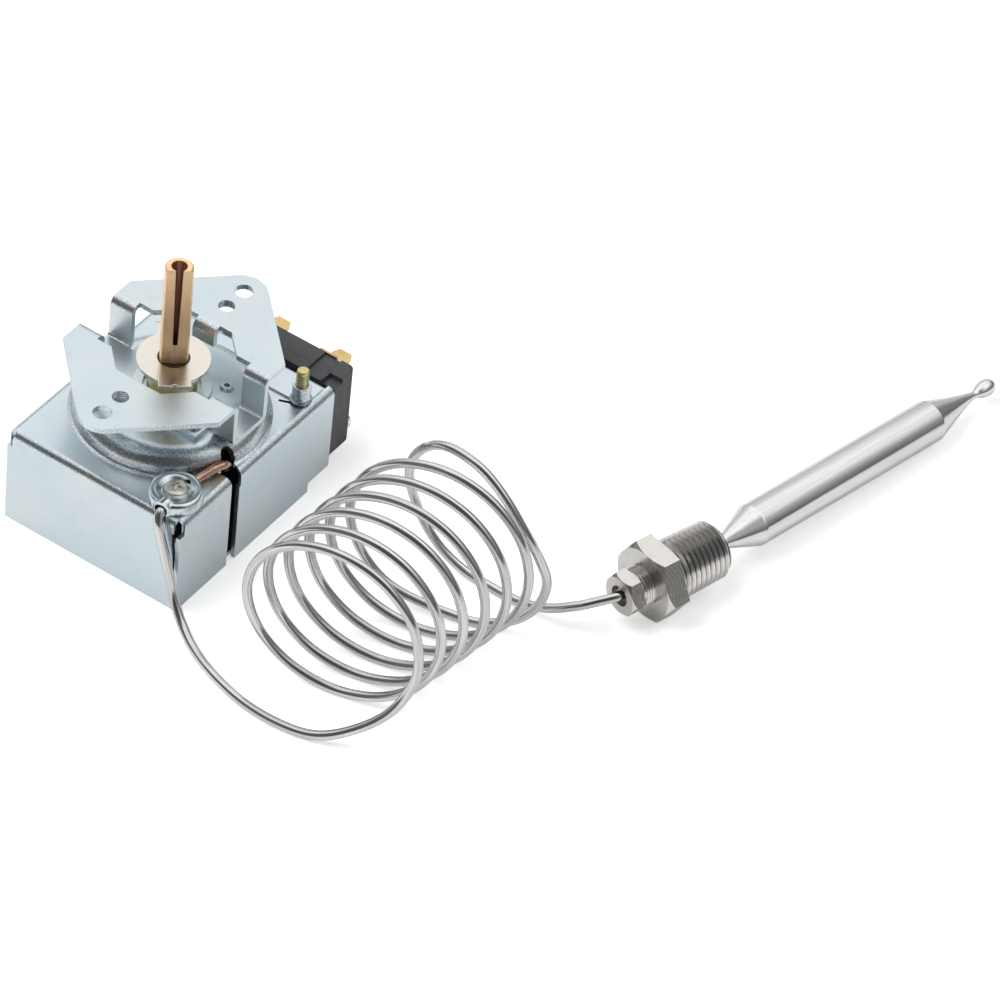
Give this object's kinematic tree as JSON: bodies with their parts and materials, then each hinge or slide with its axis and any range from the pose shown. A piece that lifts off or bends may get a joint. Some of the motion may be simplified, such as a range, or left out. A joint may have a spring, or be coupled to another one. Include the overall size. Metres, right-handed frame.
{
  "type": "fryer thermostat",
  "caption": "Capillary-and-bulb control with a panel bracket, slotted D-shaft, snap switch, coiled capillary, compression gland with taper thread, and sensing bulb.",
  "frame": {"origin": "on the shaft's axis, at the panel face of the two ears, midway between the screw holes", "axes": "+Z along the shaft towards the knob, +Y along the row of ear holes towards the switch, +X towards the slotted side of the housing"},
  "size_m": [0.1505, 0.1898, 0.0669],
  "materials": {
    "zinc_sheet": "zinc plated, satin",
    "nickel_sheet": "nickel plated, bright",
    "shaft_brass": "turned, satin",
    "bushing_brass": "yellow chromate",
    "terminal_brass": "bright",
    "copper_lead": "oxidised copper colour",
    "yellow_zinc": "yellow zinc",
    "spring_steel": "plain",
    "stainless": "drawn, bright",
    "capillary_steel": "drawn, bright",
    "fitting_steel": "machined",
    "black_moulding": "phenolic",
    "black_fibre": "fibre sheet",
    "ivory_plastic": "plain"
  },
  "bodies": {
    "base": {"housing": "zinc_sheet", "base_plate": "zinc_sheet", "mounting_bracket": "zinc_sheet", "bracket_rivets": "zinc_sheet", "bushing": "bushing_brass", "guide_pin": "spring_steel", "lead_tube": "copper_lead", "capillary_clamp": "zinc_sheet", "clamp_screw": "nickel_sheet", "lever_pin": "spring_steel", "lever_bracket": "zinc_sheet", "return_spring": "spring_steel", "switch_body": "black_moulding", "switch_cover": "black_moulding", "terminal_left": "terminal_brass", "terminal_right": "terminal_brass", "contact_strip": "copper_lead", "insulator_sheet": "black_fibre", "switch_screws": "nickel_sheet", "stud_screw": "yellow_zinc", "stud_collar": "zinc_sheet", "capillary_lead": "capillary_steel", "capillary_coil": "capillary_steel", "capillary_tail": "capillary_steel", "gland_nut": "fitting_steel", "packing_ring": "ivory_plastic", "gland_fitting": "fitting_steel", "sensing_bulb": "stainless", "bulb_tip": "stainless"},
    "knob_shaft": {"shaft": "shaft_brass", "stop_washer": "nickel_sheet", "retaining_ring": "spring_steel", "calibration_screw": "shaft_brass"},
    "carrier": {"carrier_nut": "zinc_sheet", "diaphragm_capsule": "stainless", "capsule_button": "shaft_brass"},
    "lever": {"switch_lever": "zinc_sheet", "lever_screw": "shaft_brass"},
    "plunger": {"switch_plunger": "ivory_plastic"}
  },
  "joints": [
    {"name": "shaft_turn", "type": "hinge", "parent": "base", "child": "knob_shaft", "pos_m": [0, 0, 0], "axis": [0, 0, 1], "range_deg": [0, 275]},
    {"name": "carrier_slide", "type": "slide", "parent": "base", "child": "carrier", "axis": [0, 0, -1], "range_m": [0, 0.00076385]},
    {"name": "lever_rock", "type": "hinge", "parent": "base", "child": "lever", "pos_m": [0, 0.017, -0.0233], "axis": [1, 0, 0], "range_deg": [0, 3.2]},
    {"name": "plunger_slide", "type": "slide", "parent": "base", "child": "plunger", "axis": [0, 1, 0], "range_m": [0, 0.0005]}
  ],
  "couplings": [
    {"joint": "shaft_turn", "follows": "carrier_slide", "rad_per_m": 6283.2},
    {"joint": "lever_rock", "follows": "carrier_slide", "rad_per_m": 69.743},
    {"joint": "plunger_slide", "follows": "carrier_slide", "ratio": 0.63775}
  ]
}
